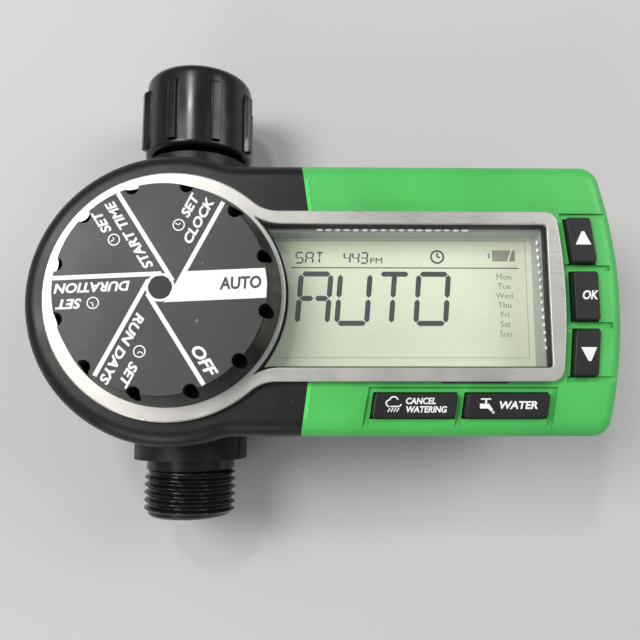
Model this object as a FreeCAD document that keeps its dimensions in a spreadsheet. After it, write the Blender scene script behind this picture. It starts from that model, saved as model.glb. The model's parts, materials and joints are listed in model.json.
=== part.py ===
import FreeCAD, Part
import math
import os
import re
import Sketcher

# A hose-end irrigation controller that lies on its back. The dial's axis is Z and the hose's axis
# is along Y. The origin is on the flat back, under the point where the two axes cross in plan.
# +X runs towards the display end, +Y towards the tap, and +Z out of the face. Millimetres.

VECTOR = FreeCAD.Vector

# The driving dimensions, in millimetres, degrees or counts. They become the cells of the sheet.
SIZES = {
    "wall": 2.2,                # moulded wall of the casing
    "gap": 0.3,                 # room between pieces that move past each other
    "seam": 0.1,                # room between fixed pieces that meet
    "drum_radius": 39.0,
    "head_half": 36.2,          # half the head's width
    "head_end": 118.7,
    "end_bow": 125.0,           # radius of the bowed end, seen from the front
    "end_corner": 5.5,
    "blend": 12.0,              # hollow corner where the drum meets the head
    "face_top": 58.0,
    "shoulder": 4.2,            # rounding round the face
    "parting": 30.0,            # plane between the front and the back shells
    "gasket": 0.6,
    "head_back": 22.0,          # back face of the head
    "pod_end": 48.6,
    "pod_half": 19.0,
    "seam_outer": 33.9,         # colour seam of the front shells, at the side and by the trim
    "seam_inner": 35.6,
    "hose_height": 23.0,
    "outlet_collar": 16.8,
    "outlet_collar_end": 43.9,
    "inlet_collar": 15.4,
    "inlet_collar_end": 47.4,
    "barrel": 13.9,
    "waterway": 8.5,
    "trim_ring": 32.5,
    "trim_hole": 28.0,
    "trim_window_bend": 29.5,   # dial end of the window, before its corners are blended
    "trim_strip": 29.9,         # outside of the narrow strip between the dial and the window
    "trim_edge": 0.4,           # rounding of the trim's top edges
    "trim_half": 22.3,
    "trim_window_half": 18.65,
    "trim_end": 102.3,
    "trim_window_end": 98.0,
    "trim_bow": 148.0,
    "trim_height": 2.2,
    "window_half": 18.5,
    "window_arc": 30.5,
    "lens_thick": 1.6,
    "knob_radius": 26.2,
    "knob_base": 28.8,
    "knob_top": 70.0,
    "knob_lift": 2.5,           # height of the dial's skirt over the face, just clear of the trim
    "notch_count": 12,
    "notch_first": 17.5,        # direction of the first notch
    "notch_radius": 1.7,
    "notch_reach": 26.1,        # from the dial's axis to a notch's axis
    "label_thick": 0.3,
    "label_sink": 0.07,         # the label's face below the hub that stands through it
    "hub_radius": 2.8,
    "shaft_radius": 4.0,
    "detent_count": 6,
    "board_bottom": 43.0,
    "board_thick": 1.6,
    "board_half": 33.0,
    "glass_bottom": 47.4,
    "glass_top": 50.1,
    "glass_half": 18.6,
    "key_top": 60.0,
    "key_flange": 1.4,
    "side_key_left": 104.6,
    "side_key_right": 111.1,
    "side_key_lean": 1.3,
    "ok_key_half": 6.4,
    "side_key_near": 8.7,
    "side_key_far": 20.8,
    "low_key_left": 51.6,
    "low_key_length": 21.1,
    "low_key_pitch": 23.5,
    "low_key_lean": 1.1,
    "low_key_bottom": 31.35,
    "low_key_top": 25.15,
    "groove_wide": 1.6,
    "groove_deep": 0.85,
    "nut_start": 49.0,
    "nut_end": 75.1,
    "nut_radius": 16.6,
    "nut_thread": 12.5,
    "nut_thread_start": 60.2,
    "nut_seat": 13.3,           # relief behind the nut's thread, round the washer
    "nut_rib": 18.2,
    "nut_spin": 26.5,
    "nut_rib_count": 8,
    "nut_rib_wide": 2.4,
    "neck": 10.5,
    "neck_flange": 12.2,
    "outlet_end": 60.6,
    "thread_major": 13.45,
    "thread_root": 12.2,
    "thread_pitch": 2.209,
    "cell_radius": 7.25,
    "cell_length": 50.5,
    "cell_height": 32.0,
    "bay_start": 51.5,          # inside of the battery bay
    "bay_end": 106.1,
    "bay_half": 15.6,
    "bay_roof": 39.8,
    "bay_wall": 1.5,
    "door_start": 50.5,
    "door_end": 116.0,
    "door_half": 17.0,
    "door_plate": 2.4,
    "door_tongue": 1.5,
    "screw_radius": 1.45,
    "screw_head": 2.9,
    "plunger_radius": 4.1,
}

CASE_SCREW_SPOTS = [(-24.0, 24.0), (-24.0, -24.0), (44.0, 29.5), (44.0, -29.5), (104.5, 29.0), (104.5, -29.0)]
BOARD_SCREW_SPOTS = [(-6.0, 29.0), (-6.0, -29.0), (96.5, 27.5), (46.5, -22.6)]
TURNS = {
    "X": FreeCAD.Rotation(VECTOR(0, 1, 0), 90),
    "Y": FreeCAD.Rotation(VECTOR(1, 0, 0), -90),
    "Z": FreeCAD.Rotation(),
}
HOSE = ("0", "0", "hose_height")

doc = FreeCAD.newDocument("irrigation_controller")
sheet = doc.addObject("Spreadsheet::Sheet", "Sizes")
for row, (word, value) in enumerate(SIZES.items(), 1):
    sheet.set(f"A{row}", word)
    sheet.set(f"B{row}", str(value))
    sheet.setAlias(f"B{row}", word)
doc.recompute()
nodes = []


# ---- helpers -------------------------------------------------------------------------------

def linked(text):
    """The expression with each driving dimension read from the sheet."""
    return re.sub(r"[a-z_]+", lambda word: "Sizes." + word[0] if word[0] in SIZES else word[0], str(text))


def size(text):
    """The value of an expression, in millimetres."""
    return float(sheet.evalExpression(linked(text)))


def bind(item, **sizes):
    for name, text in sizes.items():
        item.setExpression(name, linked(text))
    return item


def place(item, spot, axis="Z", spin=0.0):
    """Stands the item's own Z along an axis, turned about it by spin, with its origin at spot."""
    item.Placement = FreeCAD.Placement(VECTOR(), TURNS[axis] * FreeCAD.Rotation(VECTOR(0, 0, 1), spin))
    for letter, text in zip("xyz", spot):
        item.setExpression(".Placement.Base." + letter, linked(text))
    return item


def node(label, item):
    """Keeps the item as a sub-part with the node's name."""
    item.Label = label
    nodes.append(item)
    return item


def box(name, x, y, z):
    item = doc.addObject("Part::Box", name)
    bind(item, Length=f"({x[1]}) - ({x[0]})", Width=f"({y[1]}) - ({y[0]})", Height=f"({z[1]}) - ({z[0]})")
    return place(item, (x[0], y[0], z[0]))


def rod(name, radius, ends, axis="Z", at=("0", "0", "0")):
    """A cylinder along an axis; at gives its centre line."""
    item = doc.addObject("Part::Cylinder", name)
    bind(item, Radius=radius, Height=f"({ends[1]}) - ({ends[0]})")
    spot = list(at)
    spot["XYZ".index(axis)] = ends[0]
    return place(item, spot, axis)


def ring(name, radii, ends, axis="Z", at=("0", "0", "0")):
    """A tube; radii are its inner and outer radius."""
    outer = rod(name + "_outer", radii[1], ends, axis, at)
    inner = rod(name + "_inner", radii[0], (f"({ends[0]}) - 1", f"({ends[1]}) + 1"), axis, at)
    return cut(name, outer, inner)


def joined(name, *pieces):
    if len(pieces) == 1:
        return pieces[0]
    item = doc.addObject("Part::MultiFuse", name)
    item.Shapes = list(pieces)
    item.Refine = True
    return item


def group(name, *pieces):
    """Separate solids kept together in one sub-part."""
    item = doc.addObject("Part::Compound", name)
    item.Links = list(pieces)
    return item


def cut(name, base, *tools):
    item = doc.addObject("Part::Cut", name)
    item.Base = base
    item.Tool = joined(name + "_tools", *tools)
    return item


def common(name, base, tool):
    item = doc.addObject("Part::Common", name)
    item.Base = base
    item.Tool = tool
    return item


def rounded(name, base, radius, chosen):
    """Fillets the edges that chosen picks."""
    doc.recompute()
    item = doc.addObject("Part::Fillet", name)
    item.Base = base
    item.Edges = [(i, size(radius), size(radius)) for i,
                  edge in enumerate(base.Shape.Edges, 1) if chosen(edge)]
    return item


def upright(edge):
    """Whether the edge is straight and along Z."""
    ends = [v.Point for v in edge.Vertexes]
    return len(ends) == 2 and math.hypot(ends[0].x - ends[1].x, ends[0].y - ends[1].y) < 1e-4


def level(edge, height):
    """Whether the whole edge lies at a height."""
    bounds = edge.BoundBox
    return abs(bounds.ZMin - height) < 1e-4 and abs(bounds.ZMax - height) < 1e-4


def sketch(body, name, role, points):
    """A closed outline of straight sides on one of the body's own planes."""
    item = body.newObject("Sketcher::SketchObject", name)
    plane = next(feature for feature in body.Origin.OriginFeatures if feature.Role == role)
    item.AttachmentSupport = [(plane, "")]
    item.MapMode = "FlatFace"
    values = [(size(x), size(y)) for x, y in points]
    for start, end in zip(values, values[1:] + values[:1]):
        item.addGeometry(Part.LineSegment(VECTOR(*start, 0), VECTOR(*end, 0)), False)
    for i, (texts, value) in enumerate(zip(points, values)):
        item.addConstraint(Sketcher.Constraint("Coincident", i, 2, (i + 1) % len(points), 1))
        for kind, text, number, other_axis in zip(("DistanceX", "DistanceY"), texts, value, (-2, -1)):
            if abs(number) < 1e-9:
                item.addConstraint(Sketcher.Constraint("PointOnObject", i, 1, other_axis))
                continue
            index = item.addConstraint(Sketcher.Constraint(kind, -1, 1, i, 1, number))
            item.setExpression(f"Constraints[{index}]", linked(text))
    return item


def turned(name, profile, axis="Z", at=("0", "0", "0"), spin=0.0):
    """A body turned about an axis from an outline of (radius, distance along the axis) points."""
    body = doc.addObject("PartDesign::Body", name)
    outline = sketch(body, name + "_profile", "XZ_Plane", profile)
    turn = body.newObject("PartDesign::Revolution", name + "_turn")
    turn.Profile = outline
    turn.ReferenceAxis = (outline, ["V_Axis"])
    turn.Angle = 360
    return place(body, at, axis, spin)


def pad(body, name, points, height, downwards=False):
    """Adds a straight-sided block that starts at the body's own XY plane."""
    item = body.newObject("PartDesign::Pad", name)
    item.Profile = sketch(body, name + "_outline", "XY_Plane", points)
    item.Reversed = downwards
    return bind(item, Length=height)


def slab(name, points, z):
    """A straight-sided block between two heights."""
    body = doc.addObject("PartDesign::Body", name)
    pad(body, name + "_pad", points, f"({z[1]}) - ({z[0]})")
    return place(body, ("0", "0", z[0]))


def repeated(body, name, feature, count):
    """Repeats a feature round the body's own Z axis."""
    pattern = body.newObject("PartDesign::PolarPattern", name)
    pattern.Originals = [feature]
    axis = next(item for item in body.Origin.OriginFeatures if item.Role == "Z_Axis")
    pattern.Axis = (axis, [""])
    pattern.Angle = 360
    pattern.Occurrences = int(size(count))
    body.Tip = pattern
    return pattern


def coil_spring(label, radius, wire, ends, half_turns, axis, at):
    """A coil spring of round wire: half turns whose planes lean alternately, so that they climb."""
    rise = (size(ends[1]) - size(ends[0]) - 2 * wire) / half_turns
    bulge = math.hypot(radius, rise / 2)
    arcs = []
    for i in range(half_turns):
        side = 1 if i % 2 == 0 else -1
        start, end = VECTOR(side * radius, 0, i * rise), VECTOR(-side * radius, 0, (i + 1) * rise)
        arcs.append(Part.Arc(start, VECTOR(0, side * bulge, (i + 0.5) * rise), end).toShape())
    section = Part.Wire(Part.makeCircle(wire, VECTOR(radius, 0, 0), VECTOR(0, 1, 0)))
    item = doc.addObject("Part::Feature", label)
    item.Shape = Part.Wire(arcs).makePipeShell([section], True, False)
    spot = [size(text) for text in at]
    spot["XYZ".index(axis)] = size(ends[0]) + wire
    item.Placement = FreeCAD.Placement(VECTOR(*spot), TURNS[axis])
    return item


def grown(corners, by):
    """Four corners, from the lower left and anticlockwise, moved outwards."""
    signs = (("-", "-"), ("+", "-"), ("+", "+"), ("-", "+"))
    return [(f"{x} {sx} {by}", f"{y} {sy} {by}") for (x, y), (sx, sy) in zip(corners, signs)]


def screw(name, x, y, head_z, length, scale=1.0):
    """A pan-head screw that points up, with a cross recess in its head."""
    spot = (str(x), str(y), "0")
    head = rod(name + "_head", f"screw_head*{scale}", (head_z, f"{head_z} + 2.2*{scale}"), "Z", spot)
    shank = rod(name + "_shank", f"screw_radius*{scale}", (f"{head_z} + 2*{scale}", f"{head_z} + {length}"),
                "Z", spot)
    half, slot = 1.6 * scale, 0.4 * scale
    recess_z = (f"{head_z} - 1", f"{head_z} + 1.1*{scale}")
    across = box(name + "_across", (x - half, x + half), (y - slot, y + slot), recess_z)
    along = box(name + "_along", (x - slot, x + slot), (y - half, y + half), recess_z)
    return cut(name, joined(name + "_blank", head, shank), across, along)


# ---- casing --------------------------------------------------------------------------------

def plan_block(name, inset, z, corner, blend=None):
    """The casing's outline, drawn in by an inset, between two heights."""
    drum = rod(name + "_drum", f"drum_radius - {inset}", z)
    head = box(name + "_head", ("0", "head_end + 1"), (f"{inset} - head_half", f"head_half - {inset}"), z)
    bow = rod(name + "_bow", f"end_bow - {inset}", z, at=("head_end - end_bow", "0", "0"))
    block = common(name + "_plan", joined(name + "_whole", drum, head), bow)
    item = rounded(name + "_corners", block, corner, lambda edge: upright(edge) and edge.BoundBox.XMin > 100)
    if blend:
        item = rounded(name + "_blends", item, blend,
                       lambda edge: upright(edge) and 0 < edge.BoundBox.XMin < 30)
    return item


def collars(name):
    """The two round collars that hold the hose barrel."""
    outlet = rod(name + "_out", "outlet_collar", ("-outlet_collar_end", "-25"), "Y", HOSE)
    inlet = rod(name + "_in", "inlet_collar", ("25", "inlet_collar_end"), "Y", HOSE)
    return [outlet, inlet]


def posts(name, spots, radius, z):
    return [rod(f"{name}_{i}", radius, z, "Z", (str(x), str(y), "0")) for i, (x, y) in enumerate(spots)]


def side_key(sign):
    """The outline of the key above or below the middle one."""
    near, far = (("side_key_near", "side_key_far") if sign > 0 else ("-side_key_far", "-side_key_near"))
    lean = ("0", "side_key_lean") if sign > 0 else ("side_key_lean", "0")
    return [(f"side_key_left - {lean[0]}", near), (f"side_key_right - {lean[0]}", near),
            (f"side_key_right - {lean[1]}", far), (f"side_key_left - {lean[1]}", far)]


def low_key(place_in_row):
    """The outline of one of the two keys below the display."""
    left = f"low_key_left + {place_in_row}*low_key_pitch"
    return [(left, "-low_key_bottom"), (f"{left} + low_key_length", "-low_key_bottom"),
            (f"{left} + low_key_length + low_key_lean", "-low_key_top"),
            (f"{left} + low_key_lean", "-low_key_top")]


KEYS = {
    "key_up": side_key(1),
    "key_ok": [("side_key_left", "-ok_key_half"), ("side_key_right", "-ok_key_half"),
               ("side_key_right", "ok_key_half"), ("side_key_left", "ok_key_half")],
    "key_down": side_key(-1),
    "key_cancel": low_key(0),
    "key_water": low_key(1),
}


def key_centre(corners):
    """The middle of a key's outline."""
    xs = [size(x) for x, _ in corners]
    ys = [size(y) for _, y in corners]
    return sum(xs) / 4, sum(ys) / 4


def seam_side(name, shift, z):
    """Everything on the dial's side of the colour seam."""
    right = [("-60", "-60"), (f"seam_outer + {shift}", "-60"), (f"seam_outer + {shift}", "-35"),
             (f"seam_inner + {shift}", "-trim_half"), (f"seam_inner + {shift}", "trim_half"),
             (f"seam_outer + {shift}", "35"), (f"seam_outer + {shift}", "60"), ("-60", "60")]
    return slab(name, right, z)


def window(name, z):
    """The display opening, whose left edge is an arc round the dial."""
    opening = box(name + "_field", ("20", "trim_window_end - seam/2"), ("-window_half", "window_half"), z)
    return cut(name, opening, rod(name + "_arc", "window_arc", (f"{z[0]} - 1", f"{z[1]} + 1")))


def key_grooves():
    """Shallow channels between the keys, which run out over the shoulder."""
    z = ("face_top - groove_deep", "face_top + 1")
    half = "groove_wide/2"
    lanes = [f"{sign}({spot})" for sign in ("", "-") for spot in
             ("(side_key_near + ok_key_half)/2", f"side_key_far + {half}")]
    rows = [box(f"groove_{i}", ("side_key_left - 2.3", "side_key_right + 4"),
                (f"{lane} - {half}", f"{lane} + {half}"), z)
            for i, lane in enumerate(lanes)]
    outside = [("side_key_left - 1.4", "-side_key_near"), ("side_key_left", "-side_key_near"),
               ("side_key_left", "side_key_near"), ("side_key_left - 1.4", "side_key_near")]
    column = slab("groove_column", outside, z)
    top = box("groove_top", ("low_key_left", "low_key_left + 2*low_key_pitch"),
              ("-low_key_top", "groove_wide - low_key_top"), z)
    lean = "low_key_lean*1.5"
    slants = []
    for i in range(3):
        left = f"low_key_left + {i}*low_key_pitch - groove_wide - 0.4"
        slants.append(slab(f"groove_slant_{i}", [
            (f"{left} - 0.4", "-low_key_bottom - 3"), (f"{left} + groove_wide - 0.4", "-low_key_bottom - 3"),
            (f"{left} + groove_wide + {lean}", "-low_key_top + groove_wide"),
            (f"{left} + {lean}", "-low_key_top + groove_wide")], z))
    return rows + [column, top] + slants


def front_shells():
    outer = plan_block("front", "0", ("parting + gasket/2", "face_top"), "end_corner", "blend")
    block = rounded("front_face", outer, "shoulder", lambda edge: level(edge, size("face_top")))
    above = box("front_half", ("-60", "130"), ("-70", "80"), ("parting + gasket/2", "80"))
    shell = joined("front_block", block, *[common(f"{c.Name}_front", c,
                                                  above) for c in collars("front_collar")])
    cavity = plan_block("front_cavity", "wall", ("parting - 2", "face_top - wall"), "end_corner - wall")
    bore = rod("front_bore", "barrel + gap", ("-60", "60"), "Y", HOSE)
    hollow = cut("front_hollow", shell, cavity, bore)
    bosses = posts("case_boss", CASE_SCREW_SPOTS, "3.2",
                   ("parting + gasket/2 + seam", "face_top - wall + 0.1"))
    bosses += posts("board_boss", BOARD_SCREW_SPOTS, "2.4",
                    ("board_bottom + board_thick + seam", "face_top - wall + 0.1"))
    bosses.append(rod("shaft_boss", "7", ("52.8", "face_top - wall + 0.1")))
    pilot_holes = posts("case_pilot", CASE_SCREW_SPOTS, "1.5", ("parting - 1", "40"))
    pilot_holes += posts("board_pilot", BOARD_SCREW_SPOTS, "1.15", ("board_bottom", "51"))
    shaft_hole = rod("shaft_hole", "shaft_radius + 0.15", ("45", "60"))
    seal_groove = rod("shaft_seal_groove", "shaft_radius + 1.75", ("55.9", "57.5"))
    openings = [window("window_cut", ("face_top - wall - 1", "face_top + 1"))]
    for name, corners in KEYS.items():
        openings.append(slab(name + "_hole", grown(corners, "gap"), ("face_top - wall - 1", "face_top + 1")))
    whole = cut("front_whole", joined("front_bossed", hollow, *bosses), shaft_hole, seal_groove,
                *pilot_holes, *openings, *key_grooves())
    z = ("0", "90")
    node("dial_housing", common("dial_housing", whole, seam_side("dial_side", "-seam/2", z)))
    node("display_housing", cut("display_housing", whole, seam_side("beyond_dial_side", "seam/2", z)))


def rear_shell():
    top = "parting - gasket/2"
    head = plan_block("rear", "0", ("head_back", top), "end_corner", "blend")
    head = rounded("rear_edge", head, "2", lambda edge: level(edge,
                                                              size("head_back")) and edge.BoundBox.XMax > 30)
    drum = rounded("rear_drum", rod("rear_drum_block", "drum_radius", ("0", top)), "3",
                   lambda edge: level(edge, 0))
    pod = box("pod_block", ("10", "pod_end"), ("-pod_half", "pod_half"), ("0", "head_back + 1"))
    pod = rounded("pod_corners", pod, "4", lambda edge: upright(edge) and edge.BoundBox.XMin > 40)
    pod = rounded("pod", pod, "3", lambda edge: level(edge, 0) and edge.BoundBox.XMax > 20)
    below = box("rear_half", ("-60", "130"), ("-70", "80"), ("-1", top))
    shell = joined("rear_block", head, drum, pod, *[common(f"{c.Name}_rear", c,
                                                           below) for c in collars("rear_collar")])
    cavities = [
        rod("drum_cavity", "drum_radius - wall", ("wall", "parting + 1")),
        plan_block("head_cavity", "wall", ("head_back + wall", "parting + 1"), "end_corner - wall"),
        box("pod_cavity", ("10", "pod_end - wall"), ("wall - pod_half", "pod_half - wall"),
            ("wall", "head_back + wall + 1")),
    ]
    hollow = cut("rear_hollow", shell, *cavities, rod("rear_bore", "barrel + gap", ("-60", "60"), "Y", HOSE))
    solids = posts("drum_post", CASE_SCREW_SPOTS[:2], "4.6", ("1", top))
    solids += posts("head_post", CASE_SCREW_SPOTS[2:], "4.6", ("head_back + 0.5", top))
    for side, (low, high) in {"left": ("bay_half", "21"), "right": ("-21", "-bay_half")}.items():
        solids.append(box(f"rail_{side}", ("bay_start - 2.2", "head_end - 4.5"), (low, high),
                          ("head_back + 0.5", "26.5")))
    solids.append(box("rail_start", ("bay_start - 2.8", "bay_start"), ("-21", "21"),
                      ("head_back + 0.5", "26.5")))
    solids.append(box("rail_end", ("bay_end", "head_end - 4.5"), ("-21", "21"), ("head_back + 0.5", "26.5")))
    cuts = posts("head_recess", CASE_SCREW_SPOTS, "3.2", ("-1", "head_back + 2.6"))
    cuts += posts("screw_way", CASE_SCREW_SPOTS, "screw_radius + 0.2", ("-1", "parting + 1"))
    plate_top = "head_back + door_plate + gap"
    tongue_low = "head_back + door_plate - 1 - gap/2"
    cuts.append(box("door_way", ("door_start - gap", "head_end + 2"), ("-door_half - gap", "door_half + gap"),
                    ("head_back - 1", tongue_low)))
    cuts.append(box("tongue_way", ("door_start - gap", "head_end + 2"),
                    ("-door_half - door_tongue - gap", "door_half + door_tongue + gap"),
                    (tongue_low, plate_top)))
    cuts.append(box("battery_way", ("bay_start", "bay_end"), ("-bay_half", "bay_half"),
                    ("head_back", "27.5")))
    node("rear_housing", cut("rear_housing", joined("rear_bossed", hollow, *solids), *cuts))


def gasket():
    z = ("parting - gasket/2 + 0.02", "parting + gasket/2 - 0.02")
    outer = plan_block("gasket_outer", "0.6", z, "end_corner - 0.6")
    inner = plan_block("gasket_inner", "1.6", ("parting - 1", "parting + 1"), "end_corner - 1.6")
    bore = rod("gasket_bore", "barrel + gap", ("-60", "60"), "Y", HOSE)
    node("case_gasket", cut("case_gasket", outer, inner, bore))


def trim():
    """The keyhole-shaped trim: a ring round the dial and a frame round the display."""
    z = ("face_top", "face_top + trim_height")

    def keyhole(name, radius, half, end, heights, blend, corner, bow=None):
        shape = joined(name + "_whole", rod(name + "_ring", radius, heights),
                       box(name + "_arm", ("0", end), (f"-{half}", half), heights))
        if bow:
            shape = common(name + "_bowed", shape, rod(name + "_bow", bow, heights,
                                                       at=(f"{end} - {bow}", "0", "0")))
        shape = rounded(name + "_blend", shape, blend, lambda edge: upright(edge) and edge.BoundBox.XMin < 40)
        return rounded(name + "_corner", shape, corner,
                       lambda edge: upright(edge) and edge.BoundBox.XMin > 90)

    through = ("face_top - 1", "face_top + trim_height + 1")
    outer = keyhole("trim_outer", "trim_ring", "trim_half", "trim_end", z, "10", "3.5", "trim_bow")
    inner = keyhole("trim_inner", "trim_window_bend", "trim_window_half", "trim_window_end", through,
                    "13.6", "0.8")
    window_hole = cut("trim_window", inner, rod("trim_strip_disc", "trim_strip", through))
    frame = cut("trim_frame", outer, window_hole, rod("trim_dial_hole", "trim_hole", through))
    node("bezel", rounded("bezel", frame, "trim_edge",
                          lambda edge: level(edge, size("face_top + trim_height"))))


def display():
    low = "face_top - lens_thick"
    pane = box("lens_pane", ("20", "trim_window_end - 2*seam"), ("-window_half + seam", "window_half - seam"),
               (low, "face_top"))
    node("display_lens", cut("display_lens", pane, rod("lens_arc", "window_arc + seam", ("50", "60"))))
    inside_half = "window_half - 0.9"
    lower = box("frame_lower", ("21", "99.2"), ("-19.8", "19.8"),
                ("glass_top + seam", "face_top - wall - seam"))
    lip = box("frame_lip", ("40", "trim_window_end - 2*seam"), ("-window_half + seam", "window_half - seam"),
              ("53", f"{low} - seam/2"))
    field = box("frame_field", ("23", "trim_window_end - 0.9"), (f"-{inside_half}", inside_half),
                ("40", "60"))
    node("lcd_frame", cut("lcd_frame", joined("frame_both", lower, lip), field))
    node("lcd_panel", box("lcd_panel", ("22", "trim_window_end - 0.3"), ("-glass_half", "glass_half"),
                          ("glass_bottom", "glass_top")))
    strips = [box(f"strip_{i}", ("30", "95"), (f"{y} - 1", f"{y} + 1"),
                  ("board_bottom + board_thick + seam/2", "glass_bottom - seam/2")) for i,
                  y in enumerate((17, -17))]
    node("lcd_connectors", group("lcd_connectors", *strips))


# ---- electronics ---------------------------------------------------------------------------

def electronics():
    board_top = "board_bottom + board_thick"
    plate = box("board_plate", ("-14", "111.2"), ("-board_half", "board_half"), ("board_bottom", board_top))
    holes = posts("board_case_hole", CASE_SCREW_SPOTS[2:], "3.6", ("board_bottom - 1", f"{board_top} + 1"))
    holes += posts("board_screw_hole", BOARD_SCREW_SPOTS, "1.4", ("board_bottom - 1", f"{board_top} + 1"))
    node("circuit_board", cut("circuit_board", plate, *holes))
    screws = [screw(f"board_screw_{i}", x, y, "board_bottom - 1.7", 8.5, 0.74)
              for i, (x, y) in enumerate(BOARD_SCREW_SPOTS)]
    node("board_screws", group("board_screws", *screws))
    chip_z = (f"{board_top} + seam/2", f"{board_top} + 1.6")
    node("microcontroller", box("microcontroller", ("50", "60"), ("-5", "5"), chip_z))
    node("timing_crystal", box("timing_crystal", ("64", "72"), ("2", "4.4"), chip_z))
    node("storage_capacitor", rod("storage_capacitor", "4", ("board_bottom - 10", "board_bottom - seam"),
                                  at=("34", "25", "0")))
    switches = []
    for name, corners in KEYS.items():
        x, y = key_centre(corners)
        base = box(name + "_switch", (x - 3, x + 3), (y - 3, y + 3),
                   (f"{board_top} + seam/2", f"{board_top} + 2"))
        button = rod(name + "_button", "1.5", (f"{board_top} + 1.9", f"{board_top} + 2.3"),
                     at=(str(x), str(y), "0"))
        switches.append(joined(name + "_tact", base, button))
    node("tact_switches", group("tact_switches", *switches))


def keys():
    """Five press keys: cap, flange under the face, and a stem above the switch."""
    for name, corners in KEYS.items():
        x, y = key_centre(corners)
        body = doc.addObject("PartDesign::Body", name)
        cap = pad(body, name + "_cap", corners, "key_top - face_top + wall + gap")
        place(body, ("0", "0", "face_top - wall - gap"))
        doc.recompute()
        sides = [f"Edge{i}" for i, edge in enumerate(cap.Shape.Edges, 1) if upright(edge)]
        corner = bind(body.newObject("PartDesign::Fillet", name + "_corners"), Radius="0.8")
        corner.Base = (cap, sides)
        doc.recompute()
        crown = bind(body.newObject("PartDesign::Fillet", name + "_crown"), Radius="0.45")
        top = cap.Shape.BoundBox.ZMax
        crown.Base = (corner, [f"Edge{i}" for i, edge in enumerate(corner.Shape.Edges, 1)
                               if level(edge, top)])
        flange = pad(body, name + "_flange", grown(corners, "1"), "key_flange", True)
        stem = pad(body, name + "_stem", [(f"{x + dx}", f"{y + dy}") for dx, dy in
                                          ((-1.6, -1.6), (1.6, -1.6), (1.6, 1.6), (-1.6, 1.6))],
                   "face_top - wall - gap - 48.2", True)
        body.Tip = stem
        node(name, body)


# ---- dial ----------------------------------------------------------------------------------

def dial():
    foot = "face_top + knob_lift"
    knob = turned("dial_blank", [
        ("shaft_radius + 0.05", f"{foot} + 0.4"), ("7.5", f"{foot} + 0.4"), ("7.5", "knob_top - 2.6"),
        ("knob_radius - 2.2", "knob_top - 2.6"), ("knob_base - 2.2", foot), ("knob_base", foot),
        ("knob_radius", "knob_top - 0.4"), ("hub_radius", "knob_top - 0.4"), ("hub_radius", "knob_top"),
        ("0", "knob_top"), ("0", "knob_top - 4"),
        ("shaft_radius + 0.05", "knob_top - 4")])

    def notches(name, radius):
        rods = []
        for i in range(int(size("notch_count"))):
            angle = math.radians(size("notch_first") + 360 / size("notch_count") * i)
            spot = [f"notch_reach*{factor:.6f}" for factor in (math.cos(angle), math.sin(angle))]
            rods.append(rod(f"{name}_{i}", radius, (f"{foot} + 1.4", "knob_top + 1"), at=(*spot, "0")))
        return rods

    node("dial_knob", cut("dial_knob", knob, *notches("knob_notch", "notch_radius")))
    face = "knob_top - label_sink"
    disc = ring("label_disc", ("hub_radius + 0.05", "knob_radius - 0.2"), (f"{face} - label_thick", face))
    node("dial_label", cut("dial_label", disc, *notches("label_notch", "notch_radius + 0.1")))
    node("dial_shaft", turned("dial_shaft", [
        ("0", "45"), ("shaft_radius", "45"), ("shaft_radius", "51.7"), ("shaft_radius - 0.8", "51.7"),
        ("shaft_radius - 0.8", "52.5"), ("shaft_radius", "52.5"), ("shaft_radius", "knob_top - 4.1"),
        ("0", "knob_top - 4.1")]))
    wheel = doc.addObject("PartDesign::Body", "wheel_blank")
    facets = [(f"{9 * math.cos(math.radians(15 * k)):.4f}", f"{9 * math.sin(math.radians(15 * k)):.4f}")
              for k in range(24)]
    pad(wheel, "wheel_disc", facets, "2.6")
    notch = wheel.newObject("PartDesign::Pocket", "wheel_notch")
    notch.Profile = sketch(wheel, "wheel_notch_outline", "XY_Plane",
                           [("7.6", "0"), ("9.6", "-1.6"), ("9.6", "1.6")])
    notch.Reversed = True
    bind(notch, Length="2.6")
    repeated(wheel, "wheel_notches", notch, "detent_count")
    place(wheel, ("0", "0", "48"))
    node("detent_wheel", cut("detent_wheel_bored", wheel,
                             rod("wheel_bore", "shaft_radius + 0.05", ("47", "51"))))
    node("contact_wiper", ring("contact_wiper", ("shaft_radius + 0.05", "8"), ("45.3", "46.3")))
    node("retaining_clip", ring("retaining_clip", ("shaft_radius - 0.75", "6"), ("51.75", "52.45")))
    seal = doc.addObject("Part::Torus", "shaft_seal")
    bind(seal, Radius1="shaft_radius + 0.95", Radius2="0.75")
    node("shaft_seal", place(seal, ("0", "0", "56.7")))
    post = box("detent_post", ("-13", "-10.9"), ("-3", "3"), ("board_bottom + board_thick + seam/2", "50.4"))
    tip = rod("detent_tip", "0.8", ("48", "50.4"), at=("-10.6", "0", "0"))
    node("detent_spring", joined("detent_spring", post, tip))


# ---- water side ----------------------------------------------------------------------------

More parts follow.
